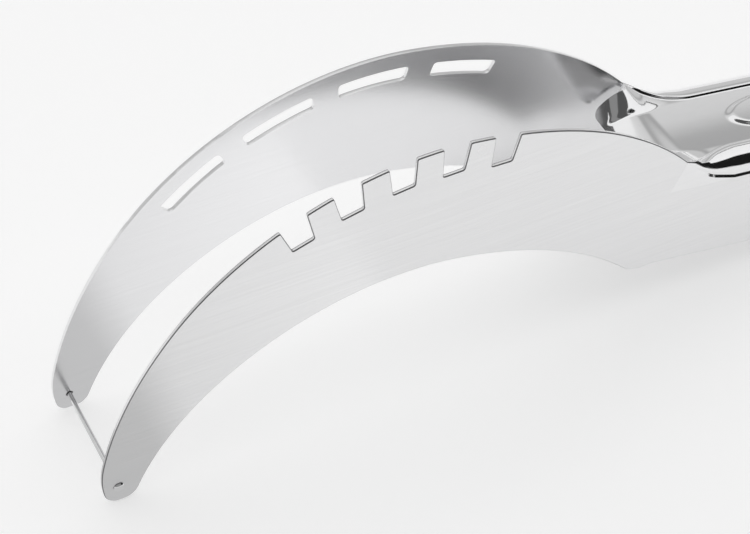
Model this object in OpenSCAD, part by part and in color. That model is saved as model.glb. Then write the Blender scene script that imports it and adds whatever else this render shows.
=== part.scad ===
// Melon slicer: one stamped stainless sheet folded into a channel handle with two
// sickle-shaped blades, and a thin cutter rod peened between the blade tips.
// The tool stands on the two tips and on the heel of the handle.
// Frame: +X runs along the tool to the end of the handle, +Y to the slotted blade,
// +Z up. The origin is on the ground, under the middle of the overall length.

/* [Sheet] */
// Thickness of the stainless sheet
sheet = 0.8; // [0.6:0.1:1.0]
// Width over the outer faces of the two blades
tool_w = 25; // [22:0.5:30]

/* [Blade tip] */
// Radius of the rounded tip
tip_r = 3.6; // [3.2:0.1:4.4]
// Rod hole to the centre of the tip's rounding, along the tool
tip_back = 0.7; // [0.4:0.05:1.0]
// Rod hole to the centre of the tip's rounding, downwards
tip_drop = 1.2; // [0.9:0.05:1.6]

/* [Blade spine] */
// Heading of the spine where it leaves the tip, in degrees above the ground
spine_start = 102.4; // [100:0.1:105]
// Radius of the spine's first arc, just above the tip
nose_r = 26; // [22:1:32]
// Turn of the first arc in degrees
nose_turn = 21.2; // [20:0.1:23]
// Radius of the rising arc
rise_r = 84; // [80:1:88]
// Turn of the rising arc in degrees
rise_turn = 24.9; // [23:0.1:26]
// Radius of the crown
crown_r = 60; // [58:0.5:62]
// Turn of the crown in degrees
crown_turn = 64.8; // [63:0.1:67]
// Radius of the falling arc behind the crown
fall_r = 92; // [88:1:96]
// Turn of the falling arc in degrees
fall_turn = 38.5; // [37:0.1:40]

/* [Blade belly] */
// Heading of the belly edge where it leaves the tip, in degrees above the ground
belly_start = 72; // [70:0.5:74]
// Radius of the belly edge over the front half
belly_r = 56; // [54:0.5:58]
// Turn of the front arc in degrees
belly_turn = 86.2; // [85:0.1:88]
// Radius of the belly edge towards the handle
throat_r = 93; // [88:1:98]
// Turn of the arc towards the handle in degrees
throat_turn = 30.6; // [29:0.1:32]

/* [Notches in the front blade] */
// Number of notches
notches = 5; // [3:1:5]
// Distance between notches along the spine
notch_pitch = 11.7; // [10:0.1:12]
// Distance along the spine from the start of the crown to the first notch
notch_first = 29.7; // [28:0.1:31]
// Width of a notch at its floor
notch_w = 4.5; // [3:0.1:6]
// How much wider a notch is at its mouth
notch_flare = 1.1; // [0:0.1:2]
// Depth of a notch under the spine
notch_depth = 7.1; // [5:0.1:9]
// Lean of the first notch, in degrees from square to the spine
notch_lean = -7; // [-12:1:0]
// Further lean of each notch after the first, in degrees
notch_fan = 4.5; // [0:0.1:6]

/* [Slots in the rear blade] */
// Number of slots
slots = 4; // [3:1:4]
// Distance between slots along the spine
slot_pitch = 21.6; // [20:0.1:22]
// Distance along the spine from the start of the crown to the middle of the first slot
slot_first = 17.6; // [16:0.1:19]
// Length of a slot
slot_len = 15; // [12:0.5:17]
// Width of a slot
slot_w = 3.4; // [2.5:0.1:4.5]
// Distance from the spine to a slot
slot_inset = 3.6; // [3:0.1:6]

/* [Cutter rod] */
// Diameter of the rod
rod_d = 1.0; // [0.8:0.1:1.2]
// Play between the rod and the holes in the tips, on the radius
rod_play = 0.25; // [0.2:0.01:0.35]
// Diameter of the peened heads
head_d = 2.4; // [2:0.1:3]
// Height of the peened heads
head_h = 0.6; // [0.4:0.1:0.9]
// Gap between a head and the blade it holds
head_gap = 0.05; // [0.02:0.01:0.1]

/* [Handle] */
// Outer radius of the bends between web and flanges
bend_r = 4.8; // [3.5:0.1:5.5]
// Height of the spine's end above the web
saddle_rise = 3.3; // [2.5:0.1:4]
// Radius of the cusp under the root of the handle
cusp_r = 6; // [4:0.5:8]
// Straight stretch between the cusp and the handle's lower edge
cusp_run = 3.2; // [2:0.1:5]
// Length of the handle's lower edges from the cusp to the heel
grip_len = 71; // [66:1:76]
// Angle between the handle's web and its lower edges, in degrees
edge_taper = 2.2; // [0:0.1:3]
// Radius of the heel at the lower end of the flanges
heel_r = 6; // [4:0.5:7]
// Radius of the handle's end seen from above
end_r = 5; // [4:0.5:6]

/* [Tongue] */
// Gap between the tongue and each blade
tongue_gap = 1.2; // [1:0.1:2]
// Straight length of the tongue in front of the handle's root
tongue_run = 1; // [0.5:0.5:3]
// Outer radius of the tongue's curl
curl_r = 7; // [5:0.5:9]
// Turn of the tongue's curl in degrees
curl_turn = 52; // [45:1:60]
// Radius of the tongue's front corners
tongue_corner = 4; // [2:0.5:6]

/* [Oval pad and hanging hole] */
// Length of the oval pad pressed into the web
pad_len = 30; // [24:1:36]
// Width of the oval pad
pad_w = 9.8; // [8:0.2:11]
// Height of the oval pad above the web
pad_rise = 0.5; // [0.2:0.1:0.6]
// Distance from the root of the handle to the front of the pad
pad_front = 17.6; // [15:0.2:20]
// Diameter of the hanging hole
hang_d = 5; // [4:0.5:6]
// Distance from the hanging hole's centre to the end of the handle
hang_inset = 7; // [6:0.5:8]

/* [Hidden] */
$fn = 96;
arc_step = 2;
eps = 0.01;
big = 400;
overrun = 10;
steel = "silver";
satin = "gainsboro";

half_w = tool_w / 2;
inner_w = half_w - sheet;

// Points along an arc that starts at p with heading h and turns right by turn degrees,
// or left where turn is negative.
function arc_centre(p, h, r, turn) = p + sign(turn) * r * [sin(h), -cos(h)];
function arc_points(p, h, r, turn) =
    let (c = arc_centre(p, h, r, turn), n = ceil(abs(turn) / arc_step))
    [for (i = [0 : n]) c + sign(turn) * r * [-sin(h - turn * i / n), cos(h - turn * i / n)]];
function last(points) = points[len(points) - 1];

// Rounds a length to a hundredth of a millimetre
function tidy(length) = round(length * 100) / 100;

// Side outline of a blade, with the rod hole at the origin
tip = [tip_back, -tip_drop];
spine_0 = tip + tip_r * [-sin(spine_start), cos(spine_start)];
nose = arc_points(spine_0, spine_start, nose_r, nose_turn);
rise_head = spine_start - nose_turn;
rise = arc_points(last(nose), rise_head, rise_r, rise_turn);
crown_head = rise_head - rise_turn;
crown = arc_points(last(rise), crown_head, crown_r, crown_turn);
fall_head = crown_head - crown_turn;
fall = arc_points(last(crown), fall_head, fall_r, fall_turn);
spine_end = last(fall);
spine_end_head = fall_head - fall_turn;
crown_centre = arc_centre(last(rise), crown_head, crown_r, crown_turn);
crown_len = crown_r * crown_turn * PI / 180;
fall_centre = arc_centre(last(crown), fall_head, fall_r, fall_turn);

belly_0 = tip + tip_r * [sin(belly_start), -cos(belly_start)];
belly = arc_points(belly_0, belly_start, belly_r, belly_turn);
throat_head = belly_start - belly_turn;
throat = arc_points(last(belly), throat_head, throat_r, throat_turn);
belly_end = last(throat);
belly_end_head = throat_head - throat_turn;
tip_round = arc_points(belly_0, belly_start + 180, tip_r, 180 + belly_start - spine_start);

// The handle's lower edge starts behind the cusp and slopes down until its heel stands
// on the same ground as the tips.
cusp = arc_points(belly_end, belly_end_head, cusp_r, belly_end_head);
root = last(cusp) + [cusp_run, 0];
ground = tip[1] - tip_r;
edge_slope = atan(heel_r / grip_len)
    + asin((root[1] - ground - heel_r) / norm([grip_len, heel_r]));
slope = edge_slope - edge_taper;
along = [cos(slope), -sin(slope)];
up = [sin(slope), cos(slope)];
function in_handle(p) = [(p - root) * along, (p - root) * up];

// Sizes in the handle's own frame: along the web from the root, and up from it
relief = in_handle(spine_end);
seam_low = in_handle(belly_end);
seam_front = min(relief[0], seam_low[0]) - bend_r;
web_h = tidy(relief[1] - saddle_rise);
relief_turn = -spine_end_head - slope;
saddle_r = tidy(saddle_rise / (1 - cos(relief_turn)));
saddle_x = tidy(relief[0] + saddle_r * sin(relief_turn));
heel = arc_points(grip_len * [cos(edge_taper), -sin(edge_taper)], -edge_taper, heel_r,
    -90 - edge_taper);
flange_end = last(heel)[0];
handle_end = flange_end + end_r;
web_w = half_w - bend_r;
tongue_w = inner_w - tongue_gap;
tongue_x = relief[0] - tongue_run;
tongue_end = tongue_x - curl_r * sin(curl_turn);
hang_x = handle_end - hang_inset;

// The origin lies under the middle of the overall length
front_x = arc_centre(spine_0, spine_start, nose_r, nose_turn)[0] - nose_r;
back_x = root[0] + handle_end * along[0] + web_h * up[0];
origin = [(front_x + back_x) / 2, ground];

// Stands a side outline upright, with its thickness from y to y + thick
module plate(y, thick) {
    translate([0, y + thick, 0]) rotate([90, 0, 0]) linear_extrude(thick) children();
}

// Puts what is drawn about the rod hole into the tool's frame
module on_tool() {
    translate([-origin[0], 0, -origin[1]]) children();
}

// Puts what is drawn in the handle's own frame into the tool's frame
module on_handle() {
    on_tool() translate([root[0], 0, root[1]]) rotate([0, slope, 0]) children();
}

module blade_outline() {
    polygon(concat(nose, rise, crown, fall, [for (i = [len(throat) - 1 : -1 : 0]) throat[i]],
        [for (i = [len(belly) - 1 : -1 : 0]) belly[i]], tip_round));
}

module rod_hole() {
    rotate([90, 0, 0]) cylinder(d = rod_d + 2 * rod_play, h = tool_w + 2 * head_h, center = true);
}

// Puts what is drawn at a circle's rightmost point onto the spine, at a distance along
// it from the start of the crown. $spine_r is the radius of the spine there.
module on_spine(s) {
    on_fall = s > crown_len;
    $spine_r = on_fall ? fall_r : crown_r;
    head = on_fall ? fall_head : crown_head;
    run = on_fall ? s - crown_len : s;
    translate(on_fall ? fall_centre : crown_centre)
        rotate(90 + head - run / $spine_r * 180 / PI) children();
}

// One notch, open at the spine, drawn along +X from the middle of its floor
module notch() {
    mouth_w = notch_w + 2 * notch_flare;
    polygon([[0, -notch_w / 2], [2 * notch_depth, -mouth_w / 2],
        [2 * notch_depth, mouth_w / 2], [0, notch_w / 2]]);
}

// One slot, curved like the spine that it follows
module slot() {
    outer_r = $spine_r - slot_inset;
    half_arc = slot_len / outer_r * 90 / PI;
    outer = arc_points(outer_r * [cos(half_arc), sin(half_arc)], half_arc - 90, outer_r,
        2 * half_arc);
    inner = [for (p = outer) p * (outer_r - slot_w) / outer_r];
    polygon(concat(outer, [for (i = [len(inner) - 1 : -1 : 0]) inner[i]]));
}

module front_blade() {
    color(satin) on_tool() difference() {
        plate(-half_w, sheet) difference() {
            blade_outline();
            for (i = [0 : notches - 1])
                on_spine(notch_first + i * notch_pitch)
                    translate([$spine_r - notch_depth, 0])
                        rotate(notch_lean + i * notch_fan) notch();
        }
        rod_hole();
    }
}

module rear_blade() {
    color(steel) on_tool() difference() {
        plate(inner_w, sheet) difference() {
            blade_outline();
            for (i = [0 : slots - 1])
                on_spine(slot_first + i * slot_pitch) slot();
        }
        rod_hole();
    }
}

// Peened head of the rod: a low dome on a flat seat, growing along +Z
module rod_head() {
    dome_r = (head_d * head_d / 4 + head_h * head_h) / (2 * head_h);
    intersection() {
        translate([0, 0, head_h - dome_r]) sphere(dome_r);
        cylinder(d = head_d, h = head_h);
    }
}

module cutter_rod() {
    seat = half_w + head_gap;
    color(steel) on_tool() {
        rotate([90, 0, 0]) cylinder(d = rod_d, h = 2 * seat, center = true);
        for (side = [-1, 1])
            translate([0, side * seat, 0]) rotate([-90 * side, 0, 0]) rod_head();
    }
}

// Flat part of a flange, below the bend
module flange_outline() {
    bend_h = web_h - bend_r;
    low = in_handle(cusp[0] + (cusp[0] - cusp[1]) * overrun);
    difference() {
        polygon(concat([[seam_front, relief[1]], [seam_front, low[1]], low],
            [for (i = [1 : len(cusp) - 1]) in_handle(cusp[i])], [[0, 0]], heel,
            [[flange_end, bend_h], [saddle_x, bend_h], [saddle_x, relief[1]]]));
        translate([saddle_x, web_h + saddle_r]) circle(saddle_r + bend_r, $fn = 360);
    }
}

// Quarter ring of a bend about its own centre, with the web at +Y and the flange at -X
module bend_section() {
    intersection() {
        difference() {
            circle(bend_r);
            circle(bend_r - sheet);
        }
        translate([-bend_r - eps, 0]) square(bend_r + eps);
    }
}

// Bend on the -Y side: straight along the handle, then rising to the spine's end
module bend() {
    translate([saddle_x, -web_w, web_h - bend_r]) rotate([90, 0, 90])
        linear_extrude(handle_end - saddle_x) bend_section();
    translate([saddle_x, 0, web_h + saddle_r]) mirror([1, 0, 0])
        rotate([90, 0, 0]) rotate(-90) rotate_extrude(angle = relief_turn + overrun)
            translate([saddle_r + bend_r, web_w]) mirror([1, 1]) bend_section();
}

// Upright cheek between the flat web and the bend that rises beside it
module cheek_outline() {
    low = web_h - sheet;
    high = relief[1] + bend_r;
    difference() {
        polygon([[seam_front, low], [saddle_x, low], [saddle_x, high], [seam_front, high]]);
        translate([saddle_x, web_h + saddle_r]) circle(saddle_r, $fn = 360);
    }
}

// Everything behind the line where the blades begin to flex
module behind_seam() {
    run = (relief - seam_low) / norm(relief - seam_low) * tool_w;
    plate(-tool_w, 2 * tool_w)
        polygon([seam_low - run, relief + run, relief + run + [big, 0],
            seam_low - run + [big, 0]]);
}

// Strip along X from x0 to x1, with the corners at x1 rounded
module strip(x0, x1, half, corner) {
    translate([x0, -half]) square([x1 - corner - x0, 2 * half]);
    translate([x0, corner - half]) square([x1 - x0, 2 * (half - corner)]);
    for (side = [-1, 1])
        translate([x1 - corner, side * (half - corner)]) circle(corner);
}

// Folded channel: two flanges, two bends, the web and its cheeks
module channel() {
    intersection() {
        union() {
            for (side = [0, 1]) mirror([0, side, 0]) {
                plate(-half_w, sheet) flange_outline();
                plate(-web_w, sheet) cheek_outline();
                bend();
            }
            translate([tongue_x, -web_w, web_h - sheet])
                cube([handle_end - tongue_x, 2 * web_w, sheet]);
        }
        behind_seam();
        linear_extrude(big, center = true)
            strip(seam_front, handle_end, half_w, end_r);
    }
}

// Front of the web: a tongue that runs on between the blades and curls down
module tongue() {
    neck_x = relief[0] - sheet;
    translate([tongue_x, -web_w, web_h - sheet])
        cube([relief[0] + sheet - tongue_x, 2 * web_w, sheet]);
    intersection() {
        union() {
            translate([tongue_x, -tongue_w, web_h - sheet])
                cube([neck_x - tongue_x, 2 * tongue_w, sheet]);
            translate([tongue_x, 0, web_h - curl_r]) rotate([90, 0, 0]) rotate(90)
                rotate_extrude(angle = curl_turn)
                    translate([curl_r - sheet, -tongue_w]) square([sheet, 2 * tongue_w]);
        }
        linear_extrude(big) mirror([1, 0])
            strip(-neck_x, eps - tongue_end, tongue_w, tongue_corner);
    }
}

module oval(length, width) {
    polygon([for (a = [0 : 5 : 355]) [length / 2 * cos(a), width / 2 * sin(a)]]);
}

module handle() {
    pad_x = pad_front + pad_len / 2;
    color(steel) on_handle() difference() {
        union() {
            channel();
            tongue();
            translate([pad_x, 0, web_h - sheet])
                linear_extrude(sheet + pad_rise) oval(pad_len, pad_w);
        }
        translate([pad_x, 0, web_h - sheet - eps])
            linear_extrude(pad_rise + eps) oval(pad_len - 2 * sheet, pad_w - 2 * sheet);
        translate([hang_x, 0, web_h - 2 * sheet]) cylinder(d = hang_d, h = 3 * sheet);
    }
}

handle();
front_blade();
rear_blade();
cutter_rod();
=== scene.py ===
import math

import bmesh
import bpy
from mathutils import Matrix, Vector


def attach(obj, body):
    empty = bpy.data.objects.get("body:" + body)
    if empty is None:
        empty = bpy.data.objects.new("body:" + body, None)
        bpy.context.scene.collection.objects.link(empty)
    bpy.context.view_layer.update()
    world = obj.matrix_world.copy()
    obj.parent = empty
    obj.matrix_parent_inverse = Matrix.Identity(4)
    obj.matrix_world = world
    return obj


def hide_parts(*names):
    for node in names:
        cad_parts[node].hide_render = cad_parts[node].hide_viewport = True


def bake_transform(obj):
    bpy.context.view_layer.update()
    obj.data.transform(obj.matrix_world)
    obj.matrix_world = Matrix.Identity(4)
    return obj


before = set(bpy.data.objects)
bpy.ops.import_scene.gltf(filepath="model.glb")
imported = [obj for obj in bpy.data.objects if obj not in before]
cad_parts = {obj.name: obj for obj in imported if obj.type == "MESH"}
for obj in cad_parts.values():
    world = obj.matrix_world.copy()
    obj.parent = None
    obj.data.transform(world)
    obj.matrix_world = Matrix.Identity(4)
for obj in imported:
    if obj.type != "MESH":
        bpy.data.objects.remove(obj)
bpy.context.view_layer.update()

# Handle: the web and the two bends of one blank of 0.8 mm stainless sheet. In the press the
# bends grow out of nothing behind the blades and leave a groove in each flange, the web
# sinks between them, and it gets a tongue in front, a thumb pad and a hanging hole.
mm = 0.001
sheet = 0.8
half_w = 12.5
web_h = 26.92
# the handle's own directions from its root: t back along it, y across, h up
root = Vector((19.689, 0, 13.561))
along = Vector((0.988437, 0, -0.151632))
up = Vector((0.151632, 0, 0.988437))
# where the blades are cut free, and the seams that lean back from there
relief_t, relief_h = -3.405, 30.221
split_h = 22.1
seam_lean, lean_run = 0.1418, 12
# the bends: full size, the size they start at, and how far they take to grow
bend_w, bend_h = 4.7, 4.3
bend_start = 0.3
widen_run, deepen_run, rounding_run = 16.4, 15.8, 14
saddle_end = 7.5
# the groove that the press leaves in the flange, under each bend
die_step, die_fall = 0.4, 0.5
# the web: the wall that climbs to the ridge, the dish and the sunk floor
wall_foot, wall_reach, wall_run, wall_fade = 1.6, 4.9, 12, 8.0
web_dish, dish_half = 0.22, 6.8
web_sink, sink_run, sink_edge, sink_slope = 0.5, 5, 0.85, 0.8
tongue_half, tongue_corner = 10.5, 2.0
curl_r, curl_turn = 9.2, math.radians(45)
tongue_front = relief_t - curl_r * curl_turn
pad_front, pad_len, pad_w, pad_rise, pad_edge = 17.6, 30.0, 9.8, 0.6, 0.6
hang_t, hang_r = 75.178, 2.5
handle_end, end_r = 82.178, 5.0
# places across the flat blank: the ridge, where the press pinches the bend, the foot of
# the bend, the end of the groove's slope, and the split from the blade
ridge_b, pinch_b, foot_b, slope_b, split_b = 12.0, 17.0, 20.0, 22.0, 24.0
# the share of its distance from the middle line that a place on the flat web keeps
web_shrink = 0.64
blank_rows, blank_columns = 190, 108


def in_tool(t, y, h):
    """A place in the handle's own directions, in mm, as a place in the tool's frame."""
    return (root + t * along + h * up + Vector((0, y, 0))) * mm


def part_way(x):
    """A share, held between none and all."""
    return min(1.0, max(0.0, x))


def ease(x):
    x = part_way(x)
    return x * x * (3 - 2 * x)


def bend_size(t):
    """How far the bend reaches in from the flange and down from its ridge."""
    x = part_way((t - relief_t) / widen_run)
    wide = 0.35 * x + 0.65 * ease(x) + 0.06 * math.sin(math.pi * x)
    x = part_way((t - relief_t) / deepen_run)
    high = 0.9 * x + 0.1 * ease(x)
    return (bend_start + (bend_w - bend_start) * wide,
            bend_start + (bend_h - bend_start) * high)


def ridge_height(t):
    x = part_way((t - relief_t) / (saddle_end - relief_t))
    return web_h + (relief_h - web_h) * (0.3 * (1 - ease(x)) + 0.7 * (1 - x) ** 2)


def pad_height(t, y):
    x = (t - pad_front - pad_len / 2) / (pad_len / 2)
    inside = (1 - math.hypot(x, y / (pad_w / 2))) * pad_w / 2
    return pad_rise * ease(inside / pad_edge)


def web_surface(t, y):
    """Height of the web and of the wall that climbs to the bend's ridge."""
    at = max(t, relief_t)
    ridge_y = half_w - bend_size(at)[0]
    foot_y = ridge_y - wall_foot - wall_reach * (1 - ease((at - relief_t) / wall_run))
    x = part_way((abs(y) - foot_y) / (ridge_y - foot_y))
    climb = (ridge_height(at) - web_h) * x * (1.25 - 0.25 * x)
    if t < relief_t:
        climb *= 1 - ease((relief_t - t) / wall_fade)
    dish = web_dish * (1 - min(1.0, (y / dish_half) ** 2))
    floor = 1 - ease((abs(y) - ridge_y + sink_edge) / sink_slope)
    sink = web_sink * ease((at - relief_t) / sink_run) * floor
    return web_h + climb + pad_height(t, y) - dish - sink


def fold(a, b):
    """Folds the blank: a runs along it, b from its middle line out to the split."""
    side = 1 if b > 0 else -1
    b = abs(b)
    wide, high = bend_size(max(a, relief_t))
    ridge_y = half_w - wide
    if b <= ridge_b:
        inner = tongue_half / (half_w - bend_size(relief_t)[0])
        y = b * ridge_y * inner / tongue_half if a > relief_t else b
        if b > tongue_half:
            y = ridge_y * (inner + (1 - inner) * (b - tongue_half) / (ridge_b - tongue_half))
        h = web_surface(a, y)
        turn = max(0.0, relief_t - a) / curl_r
        if turn > 0:
            reach = curl_r + h - web_h
            return in_tool(relief_t - reach * math.sin(turn), side * y,
                           web_h - curl_r + reach * math.cos(turn))
        return in_tool(a, side * y, h)
    top = ridge_height(a)
    near = 1 - ease((a - relief_t) / lean_run)
    pinch = die_step * ease(2 * wide / bend_w)
    if b <= foot_b:
        turn = math.radians((b - ridge_b) / (foot_b - ridge_b) * 90)
        # a flatter curve than a quarter of an ellipse in front, and a true one behind
        power = 2 / (1.45 + 0.55 * ease((a - relief_t) / rounding_run))
        y = ridge_y + wide * math.sin(turn) ** power
        y -= pinch * ease((b - pinch_b) / (foot_b - pinch_b))
        h = top - high + high * math.cos(turn) ** power
    else:
        down = (b - foot_b) / (slope_b - foot_b)
        rest = top - high - split_h - die_fall
        h = top - high - die_fall * min(1, down) - rest * max(0, down - 1)
        y = half_w - pinch * max(0, 1 - down)
    return in_tool(a + near * seam_lean * (h - top), side * y, h)


def between(stops, at):
    """The value at a place on straight runs from stop to stop."""
    for (i0, value0), (i1, value1) in zip(stops, stops[1:]):
        if at <= i1:
            return value0 + (value1 - value0) * (at - i0) / (i1 - i0)
    return stops[-1][1]


def cut_sheet(bm, point, normal, away=True):
    """Cuts the whole sheet along a plane and drops what lies past it, or keeps it."""
    geom = list(bm.verts) + list(bm.edges) + list(bm.faces)
    bmesh.ops.bisect_plane(bm, geom=geom, dist=1e-7, plane_co=point, plane_no=normal,
                           clear_outer=away)


# the flat blank, with its rows and columns close together where the press shapes it
row_stops = [(0, tongue_front), (18, relief_t), (152, 50.0), (162, 70.0),
             (blank_rows, handle_end)]
column_stops = [(0, 0.0), (28, tongue_half), (34, ridge_b), (48, foot_b), (52, slope_b),
                (blank_columns / 2, split_b)]
bm = bmesh.new()
bmesh.ops.create_grid(bm, x_segments=blank_rows, y_segments=blank_columns, size=1)
for v in bm.verts:
    row = round((v.co.x + 1) * blank_rows / 2)
    column = round(v.co.y * blank_columns / 2)
    v.co = (between(row_stops, row),
            math.copysign(between(column_stops, abs(column)), column), 0)
free = [f for f in bm.faces
        if f.calc_center_median().x < relief_t and abs(f.calc_center_median().y) > tongue_half]
bmesh.ops.delete(bm, geom=free, context="FACES")
# the tongue's two corners, rounded by cuts
cuts = 8
for side in (-1, 1):
    for i in range(1, cuts):
        turn = math.radians(i * 90 / cuts)
        out = Vector((-math.sin(turn), side * math.cos(turn), 0))
        at = Vector((tongue_front + tongue_corner, side * (tongue_half - tongue_corner), 0))
        faces = [f for f in bm.faces if f.calc_center_median().x < relief_t]
        geom = {v for f in faces for v in f.verts} | {e for f in faces for e in f.edges}
        geom = list(geom) + faces
        bmesh.ops.bisect_plane(bm, geom=geom, dist=1e-6, plane_co=at + out * tongue_corner,
                               plane_no=out, clear_outer=True)
# the hanging hole, whose rim is made round after the fold
hole = [f for f in bm.faces
        if math.hypot(f.calc_center_median().x - hang_t,
                      f.calc_center_median().y * web_shrink) < hang_r]
bmesh.ops.delete(bm, geom=hole, context="FACES")
rim = [v for v in bm.verts
       if v.is_boundary and abs(v.co.x - hang_t) < 4 and abs(v.co.y) < 8]
for v in bm.verts:
    v.co = fold(v.co.x, v.co.y)
centre = in_tool(hang_t, 0, web_h)
for v in rim:
    out = v.co - centre
    v.co = centre + out.normalized() * hang_r * mm
# the rounded corners at the end of the handle
cuts = 13
for side in (-1, 1):
    for i in range(1, cuts):
        turn = math.radians(i * 90 / cuts)
        out = along * math.sin(turn) + Vector((0, side * math.cos(turn), 0))
        at = in_tool(handle_end - end_r, side * (half_w - end_r), web_h)
        cut_sheet(bm, at + out * end_r * mm, out)
# the sheet faces up and outwards, and its thickness goes to the inside
bmesh.ops.recalc_face_normals(bm, faces=bm.faces)
on_pad = in_tool(pad_front, 0, web_h)
top_face = min(bm.faces, key=lambda f: (f.calc_center_median() - on_pad).length)
if top_face.normal.dot(up) < 0:
    bmesh.ops.reverse_faces(bm, faces=bm.faces)
bmesh.ops.solidify(bm, geom=list(bm.faces), thickness=sheet * mm)
bmesh.ops.recalc_face_normals(bm, faces=bm.faces)


def finish_piece(bm, name, sharp_from=35, flat_sides=False):
    """Turns a finished bmesh into an object, smooth except at its real corners."""
    for f in bm.faces:
        f.smooth = True
        f.normal_update()
    for e in bm.edges:
        e.smooth = not (e.is_manifold and e.calc_face_angle(0) > math.radians(sharp_from))
        # a flat side ends where its rolled edge starts
        if flat_sides and len({abs(f.normal.y) > 0.985 for f in e.link_faces}) > 1:
            e.smooth = False
    mesh = bpy.data.meshes.new(name)
    bm.to_mesh(mesh)
    bm.free()
    piece = bpy.data.objects.new(name, mesh)
    bpy.context.scene.collection.objects.link(piece)
    return piece


handle_sheet = finish_piece(bm, "handle_sheet")

# rolling lines: their spacing by direction, their tilt along the handle and their depth
line_scale = (40, 900, 2600)
line_tilt = math.radians(2)
line_depth = 0.000004
cloud_scale = 45.0


def steel(name, colour, roughness, grain):
    """Stainless sheet with the fine lines that rolling and brushing leave along it."""
    material = bpy.data.materials.new(name)
    material.use_nodes = True
    nodes = material.node_tree.nodes
    link = material.node_tree.links.new
    shader = nodes["Principled BSDF"]
    shader.inputs["Metallic"].default_value = 1.0
    place = nodes.new("ShaderNodeTexCoord")
    stretch = nodes.new("ShaderNodeMapping")
    stretch.inputs["Scale"].default_value = line_scale
    stretch.inputs["Rotation"].default_value = (0, line_tilt, 0)
    lines = nodes.new("ShaderNodeTexNoise")
    lines.inputs["Scale"].default_value = 1.0
    lines.inputs["Detail"].default_value = 4.0
    link(place.outputs["Object"], stretch.inputs["Vector"])
    link(stretch.outputs["Vector"], lines.inputs["Vector"])
    clouds = nodes.new("ShaderNodeTexNoise")
    clouds.inputs["Scale"].default_value = cloud_scale
    clouds.inputs["Detail"].default_value = 2.0
    link(place.outputs["Object"], clouds.inputs["Vector"])
    tint = nodes.new("ShaderNodeMixRGB")
    tint.inputs["Color1"].default_value = [c * (1 - grain) for c in colour] + [1]
    tint.inputs["Color2"].default_value = [min(1, c * (1 + grain)) for c in colour] + [1]
    link(lines.outputs["Fac"], tint.inputs["Fac"])
    link(tint.outputs["Color"], shader.inputs["Base Color"])
    polish = nodes.new("ShaderNodeMapRange")
    polish.inputs["To Min"].default_value = roughness * 0.8
    polish.inputs["To Max"].default_value = roughness * 1.25
    link(clouds.outputs["Fac"], polish.inputs["Value"])
    link(polish.outputs["Result"], shader.inputs["Roughness"])
    bump = nodes.new("ShaderNodeBump")
    bump.inputs["Strength"].default_value = 0.25 * grain / 0.05
    bump.inputs["Distance"].default_value = line_depth
    link(lines.outputs["Fac"], bump.inputs["Height"])
    link(bump.outputs["Normal"], shader.inputs["Normal"])
    return material


bright_steel = steel("bright_steel", (0.86, 0.86, 0.865), 0.08, 0.02)
handle_sheet.data.materials.append(bright_steel)
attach(handle_sheet, "handle")
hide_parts("handle")

# Sides: each flange of the handle runs forward as a sickle-shaped blade, cut from the
# same sheet. The front one has five notches in its spine and the rear one four slots.
# Both are bowed outwards a little, and their stamped edges are slightly rolled.
seam = Vector((seam_lean, 0, 1)).normalized()
seam = (along * seam.x + up * seam.z).normalized()
# the rod's hole in the tips, from which the bow is measured towards the handle
tip_x, tip_z = -101.576, 4.8
bow_heading, bow_unit, bow_end = math.radians(6.4), 12.1, 8.73
bow_rise, bow_fall = 0.015353, 0.0017589
outer_roll, inner_roll = 0.3, 0.14
strip_w = 3


def bow(x, z):
    """How far the blade stands out of its plane, by the place in millimetres."""
    u = ((x - tip_x) * math.cos(bow_heading)
         + (z - tip_z) * math.sin(bow_heading)) / bow_unit
    return bow_unit * (bow_rise * u - bow_fall * u * u) if 0 < u < bow_end else 0.0


def outer_face(bm, side):
    """Leaves only the flat outer face of a copied solid."""
    bmesh.ops.remove_doubles(bm, verts=bm.verts, dist=2e-6)
    gone = [f for f in bm.faces
            if any(abs(v.co.y - side * half_w * mm) > 5e-6 for v in f.verts)]
    bmesh.ops.delete(bm, geom=gone, context="FACES")


def joined(v):
    """On the line where a side meets the handle's bend."""
    t = (v.co - in_tool(0, 0, 0)).dot(along) / mm
    h = (v.co - in_tool(0, 0, 0)).dot(up) / mm
    on_seam = abs(t - relief_t - seam_lean * (h - relief_h)) < 0.03 and h > split_h - 0.05
    return on_seam or (abs(h - split_h) < 0.03 and t > relief_t - 2)


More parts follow.
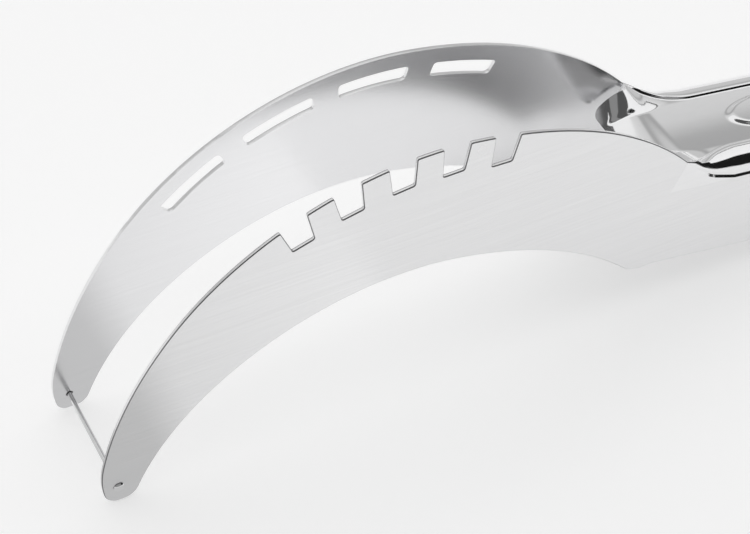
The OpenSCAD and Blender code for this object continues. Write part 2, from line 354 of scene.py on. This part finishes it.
def blade_side(name, blade, side, corner_r):
    """The blade's outline with the flange below the handle's bend, as one thick sheet."""
    bm = bmesh.new()
    bm.from_mesh(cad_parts["handle"].data)
    outer_face(bm, side)
    cut_sheet(bm, in_tool(0, 0, split_h), up)
    flange = bpy.data.meshes.new("flange")
    bm.to_mesh(flange)
    bm.free()
    bm = bmesh.new()
    bm.from_mesh(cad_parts[blade].data)
    outer_face(bm, side)
    cut_sheet(bm, in_tool(0, 0, split_h), up, away=False)
    bm.from_mesh(flange)
    bpy.data.meshes.remove(flange)
    bmesh.ops.remove_doubles(bm, verts=bm.verts, dist=2e-5)
    bmesh.ops.dissolve_limit(bm, angle_limit=math.radians(0.3), verts=bm.verts,
                             edges=bm.edges)
    # the corners of the notches, slots and outline are rounded
    corners = []
    for v in bm.verts:
        rim = [e for e in v.link_edges if e.is_boundary]
        if len(rim) == 2 and not joined(v):
            a, b = ((e.other_vert(v).co - v.co).normalized() for e in rim)
            if a.angle(b) < math.radians(140):
                corners.append(v)
    bmesh.ops.bevel(bm, geom=corners, offset=corner_r * mm, offset_type="OFFSET",
                    segments=5, profile=0.5, affect="VERTICES", material=-1)
    # the sheet gets its thickness inwards, and its edges are rolled
    out = Vector((0, side, 0))
    for f in bm.faces:
        f.normal_update()
    if sum(f.normal.dot(out) * f.calc_area() for f in bm.faces) < 0:
        bmesh.ops.reverse_faces(bm, faces=bm.faces)
    grown = bmesh.ops.extrude_face_region(bm, geom=list(bm.faces))
    moved = [g for g in grown["geom"] if isinstance(g, bmesh.types.BMVert)]
    bmesh.ops.translate(bm, vec=-out * sheet * mm, verts=moved)
    bmesh.ops.recalc_face_normals(bm, faces=bm.faces)
    for roll, y in ((outer_roll, half_w), (inner_roll, half_w - sheet)):
        edges = [e for e in bm.edges
                 if all(abs(abs(v.co.y) - y * mm) < 1e-6 for v in e.verts)
                 and e.calc_face_angle(0) > math.radians(60)
                 and not all(joined(v) for v in e.verts)]
        bmesh.ops.bevel(bm, geom=edges, offset=roll * mm, offset_type="OFFSET", segments=3,
                        profile=0.5, affect="EDGES", clamp_overlap=True, material=-1)
    # cuts in strips, so that the bow bends the sheet evenly
    for direction, first, last in (((1, 0, 0), -104, 16), ((0, 0, 1), 2, 72)):
        axis = Vector(direction)
        for step in range(first, last, strip_w):
            cut_sheet(bm, axis * step * mm, axis, away=False)
    for v in bm.verts:
        v.co.y += side * bow(v.co.x / mm, v.co.z / mm) * mm
    return finish_piece(bm, name, 35, flat_sides=True)


satin_steel = steel("satin_steel", (0.83, 0.83, 0.835), 0.24, 0.05)
inner_steel = steel("inner_steel", (0.9, 0.9, 0.91), 0.2, 0.03)
# painted reflection: a dark steel for the rolled edges, standing in for the dark lines they
# mirror
painted_edge_reflection = steel("painted_edge_reflection", (0.22, 0.22, 0.225), 0.35, 0.05)
for name, blade, side, corner_r in (("front_side", "front_blade", -1, 0.4),
                                    ("rear_side", "rear_blade", 1, 0.8)):
    piece = blade_side(name, blade, side, corner_r)
    for finish in (satin_steel, inner_steel, painted_edge_reflection):
        piece.data.materials.append(finish)
    # painted reflection: the rolled edges get a dark steel in place of the dark lines they
    # mirror, and the faces towards each other are smoother
    for f in piece.data.polygons:
        if 0.2 < abs(f.normal.y) < 0.85:
            f.material_index = 2
        elif f.normal.y * side < -0.5:
            f.material_index = 1
    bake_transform(piece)
    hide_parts(blade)

# Cutter rod: a thin round stainless rod through the tips of both blades, its ends
# peened over into low domes, so that it holds the tips together.
rod_r, rod_face = 0.5, 12.55
rod_at = Vector((tip_x, 0, tip_z)) * mm
dome = [(0.0, 0.52), (0.35, 0.57), (0.75, 0.5), (1.05, 0.3), (1.18, 0.08), (1.12, 0.0)]
profile = [(r, rod_face + rise) for r, rise in dome]
profile += [(rod_r, y) for y in (rod_face, 8.0, 4.0, 0.0)]
bm = bmesh.new()
chain = []
for r, y in profile + [(r, -y) for r, y in profile[-2::-1]]:
    chain.append(bm.verts.new(rod_at + Vector((r, y, 0)) * mm))
for a, b in zip(chain, chain[1:]):
    bm.edges.new((a, b))
bmesh.ops.spin(bm, geom=list(bm.verts) + list(bm.edges), cent=rod_at, axis=(0, 1, 0),
               angle=math.tau, steps=32, use_merge=True)
bmesh.ops.remove_doubles(bm, verts=bm.verts, dist=1e-6)
bmesh.ops.recalc_face_normals(bm, faces=bm.faces)
cutter = finish_piece(bm, "cutter", 50)
cutter.data.materials.append(bright_steel)
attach(cutter, "cutter_rod")
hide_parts("cutter_rod")

# Studio: a pale table in a white cloth tent, which is graded, has two seams in its top and
# stands open towards the front and the side. The camera sees the table alone, and the
# steel mirrors the cloth and a few cards.
bpy.ops.mesh.primitive_plane_add(size=6, location=(0, 0, 0))
table = bpy.context.object
table.name = "table"
paper = bpy.data.materials.new("paper")
paper.use_nodes = True
paper_look = paper.node_tree.nodes["Principled BSDF"].inputs
paper_look["Base Color"].default_value = (0.62, 0.62, 0.62, 1)
paper_look["Roughness"].default_value = 0.9
paper_look["Specular IOR Level"].default_value = 0.0
paper_look["Emission Color"].default_value = (1, 1, 1, 1)
paper_look["Emission Strength"].default_value = 0.5
table.data.materials.append(paper)

world = bpy.data.worlds.new("tent")
world.use_nodes = True
tent_light = world.node_tree.nodes["Background"].inputs
tent_light["Color"].default_value = (1, 1, 1, 1)
tent_light["Strength"].default_value = 0.8
bpy.context.scene.world = world


def card(name, rows, levels, seen_by_table=True):
    """A sheet of cloth or card, brighter or darker by its rows, that the camera misses."""
    mesh = bmesh.new()
    glow = mesh.verts.layers.float.new("glow")
    last = None
    for row, level in zip(rows, levels):
        verts = [mesh.verts.new(place) for place in row]
        for v in verts:
            v[glow] = level
        if last:
            for i in range(len(row) - 1):
                mesh.faces.new((last[i], last[i + 1], verts[i + 1], verts[i]))
        last = verts
    data = bpy.data.meshes.new(name)
    mesh.to_mesh(data)
    mesh.free()
    cloth = bpy.data.materials.new(name)
    cloth.use_nodes = True
    shine = cloth.node_tree.nodes.new("ShaderNodeAttribute")
    shine.attribute_name = "glow"
    cloth_look = cloth.node_tree.nodes["Principled BSDF"].inputs
    cloth_look["Base Color"].default_value = (0, 0, 0, 1)
    cloth_look["Specular IOR Level"].default_value = 0.0
    cloth_look["Emission Color"].default_value = (1, 1, 1, 1)
    cloth.node_tree.links.new(shine.outputs["Fac"], cloth_look["Emission Strength"])
    data.materials.append(cloth)
    hung = bpy.data.objects.new(name, data)
    hung.visible_camera = False
    hung.visible_diffuse = seen_by_table
    hung.visible_shadow = seen_by_table
    bpy.context.scene.collection.objects.link(hung)


tent_r, tent_end = 1.6, 14
black = 0.012


def on_tent(x, turn, radius=tent_r):
    """A place on the tent, by its angle from the back horizon."""
    return (x, radius * math.cos(math.radians(turn)), radius * math.sin(math.radians(turn)))


# the tent's cloth from the back over the top to the front, where it is open and black
cloth_stops = [(3, 0.62), (28, 0.62), (38, 0.42), (43, 0.44), (48, 0.68), (58, 0.76),
               (60, 0.95), (114, 1.0), (115, black), (178, black)]
card("tent_cloth",
     [[on_tent(x, turn) for x in (-tent_end, tent_end)] for turn, level in cloth_stops],
     [level for turn, level in cloth_stops])
# two seams in its top beside the tool, and a grey screen before the opening
for name, low, high, level in (("top_seam", 60.5, 67, 0.08), ("roof_seam", 80.5, 90, 0.02)):
    card(name, [[on_tent(x, low, 1.55), on_tent(x, high, 1.55)]
                for x in (1.55, 1.62, tent_end)], [0.95, level, level])
card("front_screen", [[on_tent(x, 115.5, 1.58), on_tent(x, 178, 1.58)]
                      for x in (-tent_end, 0.8, 1.1)], [0.3, 0.3, black])
# the opening at the side and the dark table there
card("side_opening", [[(2.2, y, z) for y in (-2.6, 0.1)] for z in (0.0, 0.5)],
     [black, black])
card("side_table", [[(x, y, 0.002) for y in (-0.45, 0.25)] for x in (0.35, 2.2)],
     [black, black], seen_by_table=False)
# a dark oval card and a paler one before it, which the tongue's curl shows
for name, radius, middle, wide, centre, tall, level in (
        ("dark_oval", 1.5, -0.75, 2.0, 98, 25, 0.09),
        ("pale_oval", 1.3, -0.28, 0.5, 93, 8, 0.26)):
    rows = []
    for turn in range(0, 181, 15):
        x = middle - wide * math.cos(math.radians(turn))
        half = tall * math.sin(math.radians(turn)) + 0.01
        rows.append([on_tent(x, centre - half, radius), on_tent(x, centre + half, radius)])
    card(name, rows, [level] * len(rows), seen_by_table=False)
# painted shade: cards that only the steel sees, darker where the tool's own shade falls on the
# table, under the handle and under the tips
shade_lift = 0.0004
for name, front, back, places, levels in (
        ("shade", -0.010, 0.038, (-0.05, 0.02, 0.05, 0.12), [0.34, 0.17, 0.6, 0.8]),
        ("tip_shade", -0.060, 0.012, (-0.13, -0.09, -0.08, -0.03), [0.56, 0.58, 0.82, 0.95])):
    card(name, [[(x, y, shade_lift) for y in (front, back)] for x in places], levels,
         seen_by_table=False)

# the camera: a long lens on the front blade's side, high up and beyond the tips
camera_data = bpy.data.cameras.new("camera")
camera_data.sensor_width = 36
camera_data.lens = 96.6
camera_data.shift_y = -0.0027
camera_data.clip_start = 0.01
camera = bpy.data.objects.new("camera", camera_data)
right = Vector((0.8763578, -0.4715124, 0.0983512))
above = Vector((0.3055345, 0.7020447, 0.6432588))
look = Vector((0.3723515, 0.5336752, -0.7593057))
turned = Matrix((right, above, -look)).transposed().to_4x4()
camera.matrix_world = Matrix.Translation((-0.1888673, -0.2108800, 0.3285718)) @ turned
bpy.context.scene.collection.objects.link(camera)
bpy.context.scene.camera = camera
bpy.context.scene.view_settings.view_transform = "Standard"
